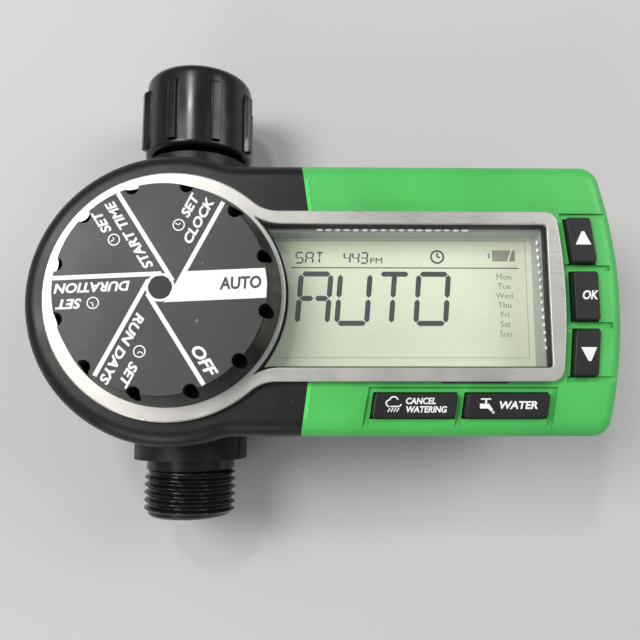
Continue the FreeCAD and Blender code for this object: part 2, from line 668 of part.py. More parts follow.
def valve():
    barrel = turned("valve_barrel", [
        ("0", "-outlet_collar_end + 0.3"), ("barrel", "-outlet_collar_end + 0.3"),
        ("barrel", "inlet_collar_end"),
        ("neck", "inlet_collar_end"), ("neck", "53.8"), ("neck_flange", "53.8"), ("neck_flange", "56.2"),
        ("0", "56.2")], "Y", HOSE)
    boss = rod("valve_boss", "17.3", ("0", "16.5"), "X", HOSE)
    seat = rod("valve_seat", "6.5", ("3", "14.6"), "X", HOSE)
    bores = [
        rod("inlet_bore", "waterway", ("6.5", "60"), "Y", HOSE),
        rod("outlet_bore", "waterway", ("-50", "-18"), "Y", HOSE),
        rod("outlet_socket", "10.3", ("-50", "-33"), "Y", HOSE),
        rod("outlet_way", "4.5", ("-19", "0"), "Y", HOSE),
        rod("diaphragm_chamber", "12", ("6", "17"), "X", HOSE),
    ]
    screw_holes = [rod(f"valve_screw_hole_{i}", "1.2", ("8", "17"), "X", spot) for i,
                   spot in enumerate(bonnet_spots())]
    body = joined("valve_seated", cut("valve_bored", joined("valve_blank", barrel, boss), *bores,
                                      *screw_holes), seat)
    seat_bore = rod("seat_bore", "4", ("0", "16"), "X", HOSE)
    node("valve_body", cut("valve_body", body, seat_bore))


def bonnet_spots():
    """Centre lines of the four screws round the valve bonnet."""
    reach = 14.7 * math.sqrt(0.5)
    return [("0", f"{reach * y:.4f}", f"hose_height + {reach * z:.4f}") for y in (-1, 1) for z in (-1, 1)]


def valve_head():
    face = 16.5
    pad_piece = rod("diaphragm_pad", "6", (face - 1.6, face + 0.1), "X", HOSE)
    disc = rod("diaphragm_disc", "17", (face + 0.05, face + 1), "X", HOSE)
    centre = rod("diaphragm_centre", "7", (face + 0.9, face + 1.8), "X", HOSE)
    holes = [rod(f"diaphragm_hole_{i}", "1.4", (face - 1, face + 3), "X", spot) for i,
             spot in enumerate(bonnet_spots())]
    node("valve_diaphragm", cut("valve_diaphragm", joined("diaphragm_blank", pad_piece, disc, centre),
                                *holes))
    node("diaphragm_spring", coil_spring("diaphragm_spring", 5.5, 0.5, (face + 1.85, face + 4.7), 5, "X",
                                         HOSE))
    plate = rod("bonnet_plate", "17.3", (face + 1.05, face + 7), "X", HOSE)
    room = rod("bonnet_room", "12", (face, face + 4.8), "X", HOSE)
    pilot = rod("pilot_hole", "0.8", (face, face + 8), "X", HOSE)
    bonnet_holes = [rod(f"bonnet_hole_{i}", "1.4", (face, face + 8), "X", spot) for i,
                    spot in enumerate(bonnet_spots())]
    node("valve_bonnet", cut("valve_bonnet", plate, room, pilot, *bonnet_holes))
    screws = []
    for i, spot in enumerate(bonnet_spots()):
        head = rod(f"bonnet_screw_head_{i}", "2.2", (face + 7.05, face + 8.6), "X", spot)
        shank = rod(f"bonnet_screw_shank_{i}", "1.1", (face - 7, face + 7.1), "X", spot)
        screws.append(joined(f"bonnet_screw_{i}", head, shank))
    node("bonnet_screws", group("bonnet_screws", *screws))


def solenoid():
    start, end = 24.4, 43.8
    node("core_tube", ring("core_tube", ("plunger_radius + 0.15", "5"), (23.6, end + 0.6), "X", HOSE))
    node("core_stop", rod("core_stop", "plunger_radius + 0.1", (38, end + 0.6), "X", HOSE))
    node("solenoid_coil", ring("solenoid_coil", ("5.1", "9"), (start + 1.7, end - 1.7), "X", HOSE))
    plates = [box(f"yoke_plate_{i}", (x, x + 1.5), ("-7.8", "7.8"), ("12", "33")) for i,
              x in enumerate((start, end - 1.5))]
    base = box("yoke_base", (start, end), ("-7.8", "7.8"), ("12", "13.5"))
    hole = rod("yoke_hole", "5.1", (20, 50), "X", HOSE)
    node("solenoid_yoke", cut("solenoid_yoke", joined("yoke_blank", *plates, base), hole))
    leads = [rod(f"solenoid_lead_{i}", "0.6", ("31.7", "board_bottom - seam"), at=("34", str(y), "0"))
             for i, y in enumerate((-3, 3))]
    node("solenoid_leads", group("solenoid_leads", *leads))
    node("plunger", rod("plunger", "plunger_radius", ("24.6", "34.4"), "X", HOSE))
    node("plunger_tip", rod("plunger_tip", "1.6", ("23.9", "24.58"), "X", HOSE))
    node("plunger_spring", coil_spring("plunger_spring", 2.8, 0.3, (34.45, 37.95), 8, "X", HOSE))


def outlet():
    """The threaded outlet. Each turn of the thread is a ridge with a flat crest."""
    profile = [("waterway", "-outlet_end"), ("thread_root - 0.6", "-outlet_end"),
               ("thread_root", "-outlet_end + 0.6")]
    for i in range(6):
        middle = f"-outlet_end + 1.6 + {i}*thread_pitch"
        profile += [("thread_root", f"{middle} - 0.85"), ("thread_major", f"{middle} - 0.25"),
                    ("thread_major", f"{middle} + 0.25"), ("thread_root", f"{middle} + 0.85")]
    profile += [("thread_root", "-outlet_collar_end - 3.1"), ("13", "-outlet_collar_end - 3.1"),
                ("13", "-outlet_collar_end - 0.1"), ("10.2", "-outlet_collar_end - 0.1"), ("10.2", "-37.2"),
                ("9", "-37.2"), ("9", "-35.2"), ("10.2", "-35.2"), ("10.2", "-33.1"), ("waterway", "-33.1")]
    node("outlet_fitting", turned("outlet_fitting", profile, "Y", HOSE))
    seal = doc.addObject("Part::Torus", "outlet_seal")
    bind(seal, Radius1="9.65", Radius2="0.6")
    node("outlet_seal", place(seal, ("0", "-36.2", "hose_height"), "Y"))


def inlet():
    lip_end = "nut_start + 4.4"
    nut = turned("swivel_nut", [
        ("neck + gap", "nut_start"), ("nut_radius - 1.6", "nut_start"), ("nut_radius", "nut_start + 1.6"),
        ("nut_radius", "nut_end - 2.2"), ("nut_radius - 0.7", "nut_end - 0.7"),
        ("nut_radius - 2.2", "nut_end"),
        ("nut_thread", "nut_end"), ("nut_thread", "nut_thread_start"), ("nut_seat", "nut_thread_start"),
        ("nut_seat", lip_end), ("neck + gap", lip_end)], "Y", HOSE, size("nut_spin"))
    half = "nut_rib_wide/2"
    rib = nut.newObject("PartDesign::Pad", "nut_rib_pad")
    rib.Profile = sketch(nut, "nut_rib_outline", "XZ_Plane", [
        ("nut_radius - 1", "nut_start + 1.6"), ("nut_rib - 0.2", "nut_start + 1.6"),
        ("nut_rib", "nut_start + 1.9"),
        ("nut_rib", "nut_end - 6.4"), ("nut_rib - 0.6", "nut_end - 5.4"),
        ("nut_radius - 1", "nut_end - 4.6")])
    rib.SideType = "Symmetric"
    bind(rib, Length="nut_rib_wide")
    repeated(nut, "nut_ribs", rib, "nut_rib_count")
    node("swivel_nut", nut)
    node("inlet_washer", ring("inlet_washer", ("waterway", "nut_thread - 0.4"), ("57.2", "59.8"), "Y", HOSE))
    node("filter_screen", turned("filter_screen", [
        ("0", "44"), ("8", "44"), ("8", "56.25"), ("11", "56.25"), ("11", "57.1"), ("7.5", "57.1"),
        ("7.5", "44.6"),
        ("0", "44.6")], "Y", HOSE))


# ---- battery compartment -------------------------------------------------------------------

def battery():
    outer = box("bay_outer", ("bay_start - 1", "bay_end + bay_wall"),
                ("-bay_half - bay_wall", "bay_half + bay_wall"),
                ("26.6", "bay_roof + bay_wall"))
    inner = box("bay_inner", ("bay_start", "bay_end"), ("-bay_half", "bay_half"), ("20", "bay_roof"))
    wire_holes = [rod(f"bay_hole_{i}", "0.9", ("bay_end - 1", "bay_end + 3"), "X", ("0", str(y), "33"))
                  for i, y in enumerate((-8, 8))]
    node("battery_bay", cut("battery_bay", outer, inner, *wire_holes))
    plate = 0.4
    first, last = size("bay_start") + plate, size("bay_end") - plate
    z = ("27", "38")
    link = box("link_contact", ("bay_start + 0.02", first), ("-13", "13"), z)
    ends = [box(f"end_contact_{i}", (last, "bay_end - 0.02"), (f"{y} - 5", f"{y} + 5"), z) for i,
            y in enumerate((-8, 8))]
    node("battery_contacts", group("battery_contacts", link, *ends))
    springs = []
    cells = {"battery_cell_a": (8, last - 0.05, -1), "battery_cell_b": (-8, first + 0.05, 1)}
    for name, (y, nub, way) in cells.items():
        axis_at = ("0", str(y), "cell_height")
        shoulder, foot = nub + way, nub + way * size("cell_length")
        can = rod(name + "_can", "cell_radius", tuple(sorted((shoulder, foot))), "X", axis_at)
        cap = rod(name + "_cap", "2.75", tuple(sorted((nub, shoulder + way))), "X", axis_at)
        node(name, joined(name, can, cap))
        far = last if way > 0 else first
        spring_ends = tuple(sorted((foot + 0.05 * way, far - 0.05 * way)))
        springs.append(coil_spring(name + "_spring", 3.5, 0.35, spring_ends, 6, "X", axis_at))
    node("battery_springs", group("battery_springs", *springs))
    leads = []
    for i, y in enumerate((-8, 8)):
        stub = rod(f"battery_lead_stub_{i}", "0.6", ("bay_end + 0.05", "108.6"), "X", ("0", str(y), "33"))
        rise = rod(f"battery_lead_rise_{i}", "0.6", ("33", "board_bottom - seam"), at=("108.6", str(y), "0"))
        elbow = doc.addObject("Part::Sphere", f"battery_lead_elbow_{i}")
        bind(elbow, Radius="0.6")
        leads.append(joined(f"battery_lead_{i}", stub, rise, place(elbow, ("108.6", str(y), "33"))))
    node("battery_leads", group("battery_leads", *leads))
    door_plate = box("door_plate", ("door_start", "door_end"), ("-door_half", "door_half"),
                     ("head_back", "head_back + door_plate"))
    tongues = box("door_tongues", ("door_start", "door_end - 6"),
                  ("-door_half - door_tongue", "door_half + door_tongue"),
                  ("head_back + door_plate - 1", "head_back + door_plate"))
    recess = box("door_recess", ("door_end - 20", "door_end - 8"), ("-9", "9"),
                 ("head_back - 1", "head_back + 1"))
    grips = [box(f"door_grip_{i}", (f"door_end - {offset + 1}", f"door_end - {offset}"), ("-8", "8"),
                 ("head_back", "head_back + 1.1")) for i, offset in enumerate((10, 13, 16))]
    door = cut("door_cut", joined("door_blank", door_plate, tongues), recess)
    node("battery_door", joined("battery_door", door, *grips))
    rim_z = ("head_back + door_plate + 0.02", "head_back + door_plate + 0.2")
    rim = box("door_rim", ("bay_start + 0.6", "bay_end - 0.6"), ("-bay_half + 0.4", "bay_half - 0.4"), rim_z)
    rim_hole = box("door_rim_hole", ("bay_start + 1.8", "bay_end - 1.8"),
                   ("-bay_half + 1.6", "bay_half - 1.6"), ("20", "30"))
    node("door_gasket", cut("door_gasket", rim, rim_hole))


def fasteners():
    screws = [screw(f"case_screw_{i}", x, y, "head_back + 0.35", 15.5) for i,
              (x, y) in enumerate(CASE_SCREW_SPOTS)]
    node("case_screws", group("case_screws", *screws))


def write():
    """Stops if anything is broken, then writes each sub-part's file."""
    doc.recompute()
    for item in doc.Objects:
        if {"Invalid", "Error"} & set(item.State):
            raise RuntimeError(f"{item.Name} is {item.State}")
    for item in nodes:
        if item.Shape.isNull() or not item.Shape.isValid():
            raise RuntimeError(f"{item.Label} has no valid shape")
    os.makedirs("parts", exist_ok=True)
    for item in nodes:
        item.Shape.exportStep(f"parts/{item.Label}.step")


front_shells()
rear_shell()
gasket()
trim()
display()
electronics()
keys()
dial()
valve()
valve_head()
solenoid()
outlet()
inlet()
battery()
fasteners()
write()
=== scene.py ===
import json
import math
import random

import bmesh
import bpy
from mathutils import Matrix, Vector


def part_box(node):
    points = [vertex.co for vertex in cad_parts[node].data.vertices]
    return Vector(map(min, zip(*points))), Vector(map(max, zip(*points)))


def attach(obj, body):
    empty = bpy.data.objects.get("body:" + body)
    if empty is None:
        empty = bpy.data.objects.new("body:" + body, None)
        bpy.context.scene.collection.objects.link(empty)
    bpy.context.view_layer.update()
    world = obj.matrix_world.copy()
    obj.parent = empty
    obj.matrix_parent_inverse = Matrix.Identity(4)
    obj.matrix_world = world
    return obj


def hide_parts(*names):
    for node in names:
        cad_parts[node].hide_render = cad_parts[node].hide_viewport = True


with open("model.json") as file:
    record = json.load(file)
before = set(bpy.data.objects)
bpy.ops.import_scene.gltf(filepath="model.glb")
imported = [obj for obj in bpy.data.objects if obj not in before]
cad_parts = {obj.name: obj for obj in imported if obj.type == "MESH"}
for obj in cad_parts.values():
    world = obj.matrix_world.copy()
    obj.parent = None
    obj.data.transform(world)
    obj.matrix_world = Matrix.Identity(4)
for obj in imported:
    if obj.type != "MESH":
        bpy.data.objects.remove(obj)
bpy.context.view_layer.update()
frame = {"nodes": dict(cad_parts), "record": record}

# An irrigation controller that lies on its back on a pale floor. Lengths are in metres, and MM turns
# the millimetres below into metres.
random.seed(11)
MM = 0.001

# ---- places taken from the frame -----------------------------------------------------------
LABEL_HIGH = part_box("dial_label")[1]
LABEL_TOP = LABEL_HIGH.z
LABEL_RADIUS = LABEL_HIGH.x
PANEL_LOW, PANEL_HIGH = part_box("lcd_panel")
PANEL_TOP = PANEL_HIGH.z
NUT_LOW, NUT_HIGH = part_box("swivel_nut")
OUTLET_LOW, OUTLET_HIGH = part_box("outlet_fitting")
HOSE_HEIGHT = (OUTLET_LOW.z + OUTLET_HIGH.z) / 2
FACE_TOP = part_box("display_housing")[1].z
KEY_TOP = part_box("key_ok")[1].z
WINDOW_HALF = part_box("display_lens")[1].y
WINDOW_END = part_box("display_lens")[1].x
DIAL_TURN = math.radians(2.7)


# ---- materials -----------------------------------------------------------------------------

class Finish:
    """A principled material that is built up in layers over the object's own coordinates."""

    def __init__(self, name, color, rough, metallic=0.0, **sockets):
        self.material = bpy.data.materials.new(name)
        self.material.use_nodes = True
        self.nodes = self.material.node_tree.nodes
        self.links = self.material.node_tree.links
        self.shader = self.nodes["Principled BSDF"]
        self.shader.inputs["Base Color"].default_value = (*color, 1)
        self.shader.inputs["Roughness"].default_value = rough
        self.shader.inputs["Metallic"].default_value = metallic
        for label, value in sockets.items():
            self.shader.inputs[label.replace("_", " ")].default_value = value
        self.place = self.nodes.new("ShaderNodeTexCoord").outputs["Object"]
        self.color = (*color, 1)
        self.rough = rough
        self.normal = None

    def node(self, kind, settings=None, **inputs):
        item = self.nodes.new(kind)
        for label, value in (settings or {}).items():
            setattr(item, label, value)
        for label, value in inputs.items():
            self.feed(item.inputs[label.replace("_", " ")], value)
        return item

    def feed(self, socket, value):
        if isinstance(value, bpy.types.NodeSocket):
            self.links.new(value, socket)
        else:
            socket.default_value = value

    def noise(self, scale, detail=3.0):
        item = self.node("ShaderNodeTexNoise", Vector=self.place, Scale=scale, Detail=detail)
        return item.outputs["Fac"]

    def between(self, value, low, high, low_to=0.0, high_to=1.0):
        """Turns the range from low to high into the range from low_to to high_to."""
        item = self.node("ShaderNodeMapRange", {"clamp": True}, Value=value)
        for label, number in (("From Min", low), ("From Max", high), ("To Min", low_to), ("To Max", high_to)):
            item.inputs[label].default_value = number
        return item.outputs["Result"]

    def blended(self, factor, low, high):
        item = self.node("ShaderNodeMix", {"data_type": "RGBA"})
        self.feed(item.inputs[0], factor)
        self.feed(item.inputs[6], low)
        self.feed(item.inputs[7], high)
        return item.outputs[2]

    def tint(self, factor, color):
        """Lays a colour over what is there, by a factor that varies over the surface."""
        self.color = self.blended(factor, self.color, (*color, 1))
        return self

    def mottle(self, scale, amount):
        """Slow light and dark clouding."""
        dark = tuple(channel * (1 - amount) for channel in self.shader.inputs["Base Color"].default_value[:3])
        return self.tint(self.between(self.noise(scale), 0.35, 0.65), dark)

    def dust(self, scale, color, cover=0.03, strength=0.6):
        """Small pale specks."""
        specks = self.between(self.noise(scale, 2.0), 0.76 - cover, 0.8 - cover, 0.0, strength)
        return self.tint(specks, color)

    def scratches(self, scale, color, strength=0.5, lean=0.6, fine=0.02):
        """Long thin marks in two directions, only in worn places."""
        worn = self.between(self.noise(45.0), 0.48, 0.62)
        for turn in (lean, lean + 1.9):
            turned = self.node("ShaderNodeMapping", Vector=self.place)
            turned.inputs["Rotation"].default_value = (0, 0, turn)
            turned.inputs["Scale"].default_value = (scale * 0.06, scale, scale)
            cells = self.node("ShaderNodeTexVoronoi", {"feature": "DISTANCE_TO_EDGE"},
                              Vector=turned.outputs["Vector"], Scale=1.0)
            line = self.between(cells.outputs["Distance"], 0.0, fine, strength, 0.0)
            mark = self.node("ShaderNodeMath", {"operation": "MULTIPLY"})
            self.feed(mark.inputs[0], line)
            self.feed(mark.inputs[1], worn)
            self.tint(mark.outputs[0], color)
        return self

    def uneven(self, scale, spread):
        """Roughness that changes slowly."""
        middle = self.shader.inputs["Roughness"].default_value
        self.rough = self.between(self.noise(scale), 0.3, 0.7, middle - spread, middle + spread)
        return self

    def grain(self, scale, height):
        """Fine relief of a moulded or rolled surface."""
        item = self.node("ShaderNodeBump", Height=self.noise(scale, 4.0), Distance=height, Strength=1.0)
        self.normal = item.outputs["Normal"]
        return self

    def done(self):
        """Links what the layers made to the shader."""
        for label, value in (("Base Color", self.color), ("Roughness", self.rough), ("Normal", self.normal)):
            if isinstance(value, bpy.types.NodeSocket):
                self.links.new(value, self.shader.inputs[label])
        return self.material


def plastic(name, color, rough, relief=0.00003, dust=0.02, gloss=0.4):
    """Moulded plastic with a fine spark-eroded texture, a little clouding and dust."""
    finish = Finish(name, color, rough, Specular_IOR_Level=gloss)
    pale = tuple(min(1.0, channel * 1.6 + 0.05) for channel in color)
    finish.mottle(35.0, 0.16).dust(750.0, pale, dust).uneven(90.0, 0.07)
    return finish.grain(2600.0, relief).done()


def metal(name, color, rough, scale=1500.0):
    finish = Finish(name, color, rough, 1.0)
    return finish.mottle(160.0, 0.2).uneven(220.0, 0.08).grain(scale, 0.00001).done()


def display_color():
    """The reflective display: greener near the dial, and painted paler towards the far end, a painted
    reflection of the light on its glass.
    """
    finish = Finish("display_glass", (0.55, 0.63, 0.46), 0.28, Specular_IOR_Level=0.4)
    sheen_along_x = finish.node("ShaderNodeSeparateXYZ", Vector=finish.place).outputs["X"]
    # Painted reflection: the colour grows paler along X towards the far end, standing in for light reflected
    # off the display there.
    finish.tint(finish.between(sheen_along_x, PANEL_LOW.x, PANEL_HIGH.x), (0.70, 0.73, 0.57))
    finish.tint(finish.between(finish.noise(38.0), 0.4, 0.75, 0.0, 0.25), (0.42, 0.50, 0.36))
    return finish.uneven(60.0, 0.05).grain(900.0, 0.000004).done()


def trim_lacquer():
    """The bezel's pewter lacquer, scratched and speckled."""
    finish = Finish("pewter_lacquer", (0.47, 0.46, 0.425), 0.36, 0.5, Coat_Weight=0.2, Coat_Roughness=0.25)
    finish.mottle(60.0, 0.10).scratches(900.0, (0.20, 0.19, 0.18), 0.7, 0.5, 0.03)
    finish.dust(420.0, (0.25, 0.23, 0.21), 0.02, 0.5)
    return finish.uneven(130.0, 0.07).grain(1400.0, 0.000006).done()


def label_print():
    """The dial label's film."""
    finish = Finish("label_film", (0.044, 0.043, 0.041), 0.45, Specular_IOR_Level=0.3)
    finish.mottle(30.0, 0.12).scratches(420.0, (0.20, 0.195, 0.19), 0.28, 0.9, 0.006)
    finish.dust(420.0, (0.30, 0.29, 0.28), 0.015, 0.5)
    return finish.uneven(70.0, 0.06).grain(2200.0, 0.000012).done()


def white_ink():
    """The worn white print of the dial and the keys."""
    finish = Finish("white_ink", (0.74, 0.74, 0.72), 0.5)
    finish.mottle(250.0, 0.06).scratches(900.0, (0.45, 0.44, 0.43), 0.4, 0.3, 0.02)
    return finish.uneven(200.0, 0.05).grain(3000.0, 0.000006).done()


def flat_ink(name, color, rough=0.55):
    finish = Finish(name, color, rough)
    return finish.mottle(300.0, 0.18).uneven(150.0, 0.06).grain(2500.0, 0.000003).done()


def clear(name, color, alpha, rough=0.06):
    """Clear plastic: mostly see-through, with a gloss."""
    finish = Finish(name, color, rough, Alpha=alpha, IOR=1.49, Specular_IOR_Level=0.6)
    finish.mottle(45.0, 0.05).uneven(80.0, 0.03)
    return finish.grain(500.0, 0.000003).done()


MATERIALS = {
    "black_shell": plastic("black_shell", (0.0095, 0.0095, 0.009), 0.38, gloss=0.26),
    "green_shell": plastic("green_shell", (0.062, 0.44, 0.085), 0.42, 0.00002, 0.012),
    "silver_trim": trim_lacquer(),
    "clear_plastic": clear("clear_frame", (0.62, 0.66, 0.60), 0.62, 0.18),
    "lcd_glass": display_color(),
    "rubber": plastic("rubber", (0.022, 0.022, 0.022), 0.75, 0.00002),
    "board": plastic("solder_mask", (0.02, 0.16, 0.06), 0.35, 0.00001),
    "component": plastic("component_epoxy", (0.02, 0.02, 0.02), 0.5),
    "steel": metal("zinc_steel", (0.55, 0.55, 0.56), 0.35),
    "copper": metal("copper_winding", (0.60, 0.27, 0.12), 0.4, 3500.0),
    "label": label_print(),
    "key": plastic("key_plastic", (0.016, 0.016, 0.0155), 0.42, gloss=0.25),
    "white_plastic": plastic("white_plastic", (0.72, 0.72, 0.69), 0.45),
    "screen": metal("woven_screen", (0.5, 0.5, 0.5), 0.4, 6000.0),
    "cell": plastic("cell_sleeve", (0.10, 0.10, 0.11), 0.3),
}
LENS = clear("lens_clear", (0.60, 0.62, 0.60), 0.035, 0.04)
WHITE = white_ink()
DARK_INK = flat_ink("dark_ink", (0.045, 0.045, 0.043))
SEGMENT_INK = flat_ink("segment_ink", (0.022, 0.030, 0.034), 0.35)
PALE_SEGMENT_INK = flat_ink("pale_segment_ink", (0.24, 0.26, 0.20), 0.4)
FITTING = plastic("fitting_plastic", (0.007, 0.007, 0.0068), 0.22, 0.000012)

# Nodes whose finish differs from their slot's.
SPECIAL = {"display_lens": LENS, "valve_body": FITTING}


def dress_frame():
    """Gives each CAD node its finish."""
    slot_of = {item["node"]: item["material_slot"] for item in frame["record"]["subparts"]}
    for name, item in frame["nodes"].items():
        finish = SPECIAL.get(name, MATERIALS[slot_of[name]])
        if item.material_slots:
            for place in item.material_slots:
                place.material = finish
        else:
            item.data.materials.append(finish)


# ---- mesh helpers --------------------------------------------------------------------------
SHARP_ANGLE = math.radians(38)
# A capital's height over the font's size, and the thickness of a printed word.
CAPITAL_SHARE = 0.72
WORD_THICK = 0.012 * MM


def piece(name, mesh, finish, body, smooth=False):
    """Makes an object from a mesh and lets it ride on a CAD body."""
    item = bpy.data.objects.new(name, mesh)
    bpy.context.collection.objects.link(item)
    mesh.materials.clear()
    mesh.materials.append(finish)
    if smooth:
        mesh.shade_smooth()
        mesh.set_sharp_from_angle(angle=SHARP_ANGLE)
    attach(item, body)
    return item


def from_bmesh(name, shape):
    bmesh.ops.recalc_face_normals(shape, faces=shape.faces)
    mesh = bpy.data.meshes.new(name)
    shape.to_mesh(mesh)
    shape.free()
    return mesh


def prism(shape, outline, low, high):
    """Adds a straight-sided solid over an outline of (x, y) points, anticlockwise."""
    bottom = [shape.verts.new((x, y, low)) for x, y in outline]
    top = [shape.verts.new((x, y, high)) for x, y in outline]
    shape.faces.new(top)
    shape.faces.new(bottom[::-1])
    for i, start in enumerate(bottom):
        j = (i + 1) % len(bottom)
        shape.faces.new((start, bottom[j], top[j], top[i]))


def annulus(shape, centre, inner, outer, low, high, steps=48, start=0.0, sweep=math.tau):
    """Adds a flat ring, or part of one."""
    for i in range(steps):
        a, b = (start + sweep * k / steps for k in (i, i + 1))
        corners = [(centre[0] + r * math.cos(t), centre[1] + r * math.sin(t))
                   for r, t in ((inner, a), (outer, a), (outer, b), (inner, b))]
        prism(shape, corners, low, high)


def bar(shape, start, end, width, low, high, pointed=0.0):
    """Adds a straight bar; pointed draws its two ends out to a tip."""
    start, end = Vector(start), Vector(end)
    along = (end - start).normalized()
    side = Vector((-along.y, along.x)) * width / 2
    tip = along * pointed
    if pointed:
        outline = [start - tip, start - side, end - side, end + tip, end + side, start + side]
    else:
        outline = [start - side, end - side, end + side, start + side]
    prism(shape, [tuple(point) for point in outline], low, high)


def turned_about_z(mesh, angle):
    mesh.transform(Matrix.Rotation(angle, 4, "Z"))
    return mesh


def revolved(name, rows, angles):
    """A closed skin about the hose's axis. Each row is a place along the axis and a radius, which is a
    number or a function of the angle and the place."""
    shape = bmesh.new()
    grid = []
    for along, radius in rows:
        ring = []
        for angle in angles:
            reach = radius(angle, along) if callable(radius) else radius
            spot = (reach * math.sin(angle), along, HOSE_HEIGHT + reach * math.cos(angle))
            ring.append(shape.verts.new(spot))
        grid.append(ring)
    for row, next_row in zip(grid, grid[1:] + grid[:1]):
        for i in range(len(angles)):
            j = (i + 1) % len(angles)
            shape.faces.new((row[i], row[j], next_row[j], next_row[i]))
    return from_bmesh(name, shape)


def lettering(text, cap, bold=0.0, lean=0.0):
    """The mesh of a word, centred on its origin, whose capitals are cap high."""
    curve = bpy.data.curves.new("word", "FONT")
    curve.body = text
    curve.size = cap / CAPITAL_SHARE
    curve.offset = bold * cap
    curve.shear = lean
    curve.align_x = "CENTER"
    curve.align_y = "CENTER"
    curve.extrude = WORD_THICK
    curve.resolution_u = 3
    holder = bpy.data.objects.new("word", curve)
    bpy.context.collection.objects.link(holder)
    bpy.context.view_layer.update()
    mesh = bpy.data.meshes.new_from_object(holder.evaluated_get(bpy.context.evaluated_depsgraph_get()))
    bpy.data.objects.remove(holder)
    bpy.data.curves.remove(curve)
    return mesh


def word(name, text, cap, spot, height, finish, body, slot, angle=0.0, width=None, **style):
    """A flat printed word at a spot; width stretches it to a length."""
    mesh = lettering(text, cap, **style)
    if width:
        xs = [vertex.co.x for vertex in mesh.vertices]
        mesh.transform(Matrix.Diagonal((width / (max(xs) - min(xs)), 1, 1, 1)))
    mesh.transform(Matrix.Translation((*spot, height)) @ Matrix.Rotation(angle, 4, "Z"))
    return piece(name, mesh, finish, body)


# ---- dial print ----------------------------------------------------------------------------
PRINT = 0.03 * MM
SETTING_STEP = math.radians(60)
LINE_WIDE = 1.1 * MM
LINE_GAP = 0.3 * MM
HUB = 2.9 * MM
HUB_RING = 0.6 * MM
LINE_OFFSET = HUB + LINE_WIDE / 2 - 0.1 * MM
# The white pointer's two long edges.
POINTER_TOP = 3.65 * MM
POINTER_BOTTOM = -3.7 * MM
POINTER_BULGE = 0.35 * MM
# The ring and the pointer stand over the lines, and the pointer's word over the pointer.
RING_LIFT = 0.003 * MM
POINTER_LIFT = 0.006 * MM
POINTER_WORD_LIFT = 0.014 * MM


def dial_point(angle, out, left):
    """A place on the dial, measured along and to the left of a direction."""
    along = Vector((math.cos(angle), math.sin(angle)))
    return along * out + Vector((-along.y, along.x)) * left


def dial_lines():
    """The lines between the settings, the ring round the hub and the white pointer."""
    shape = bmesh.new()
    low, high = LABEL_TOP, LABEL_TOP + PRINT
    reach = LABEL_RADIUS - LINE_GAP
    for k in range(1, 6):
        near = dial_point(k * SETTING_STEP, -LINE_GAP, -LINE_OFFSET)
        far = dial_point(k * SETTING_STEP, reach, -LINE_OFFSET)
        bar(shape, near, far, LINE_WIDE, low, high)
    annulus(shape, (0, 0), HUB, HUB + HUB_RING, low, high + RING_LIFT)
    inner = dial_point(SETTING_STEP, 0.0, -LINE_OFFSET)
    shoulder = inner + dial_point(SETTING_STEP, (POINTER_TOP - inner.y) / math.sin(SETTING_STEP), 0)
    end = math.sqrt(reach ** 2 - POINTER_TOP ** 2)
    pointer = [(HUB * 0.25, POINTER_BOTTOM), (end, POINTER_BOTTOM), (end + POINTER_BULGE, 0)]
    pointer += [(end, POINTER_TOP), tuple(shoulder), tuple(inner)]
    prism(shape, pointer, low, high + POINTER_LIFT)
    mesh = turned_about_z(from_bmesh("dial_lines", shape), DIAL_TURN)
    piece("dial_lines", mesh, WHITE, "dial")


# Each hand of the clock sign: its direction, and its length over the sign's radius.
CLOCK_HANDS = ((math.pi / 2, 0.62), (-0.2, 0.42))


def clock_icon(shape, centre, radius, low, high, wide=0.2):
    """Adds a clock sign; wide is its rim's width over its radius."""
    annulus(shape, centre, radius * (1 - wide), radius, low, high, 28)
    middle = Vector(centre)
    for turn, length in CLOCK_HANDS:
        tip = middle + Vector((math.cos(turn), math.sin(turn))) * radius * length
        bar(shape, middle, tip, radius * wide * 0.9, low, high)


# A setting's name: direction in degrees, then places outward and to the left in millimetres of the
# name, of the word above it and of the clock sign, and the name's length.
DIAL_WORDS = [
    ("clock", "CLOCK", 60, (18.4, -0.4), (20.9, 3.3), (15.6, 3.5), 12.4),
    ("start_time", "START TIME", 120, (14.9, -0.4), (21.2, 3.6), (16.1, 3.4), 19.6),
    ("duration", "DURATION", 180, (16.1, -0.86), (21.6, 3.0), (16.1, 3.1), 18.3),
    ("run_days", "RUN DAYS", 240, (16.8, -0.9), (21.5, 3.5), (15.8, 3.2), 18.5),
]


SETTING_CAP = 2.3 * MM
SET_WIDTH = 6.3 * MM
DIAL_CLOCK_RADIUS = 1.5 * MM
DIAL_STYLE = {"bold": 0.05, "lean": 0.22}


def dial_word(name, text, cap, spot, angle, width, finish=WHITE, lift=0.0, **style):
    height = LABEL_TOP + PRINT / 2 + lift
    word(name, text, cap, spot, height, finish, "dial", "label", angle, width, **style)


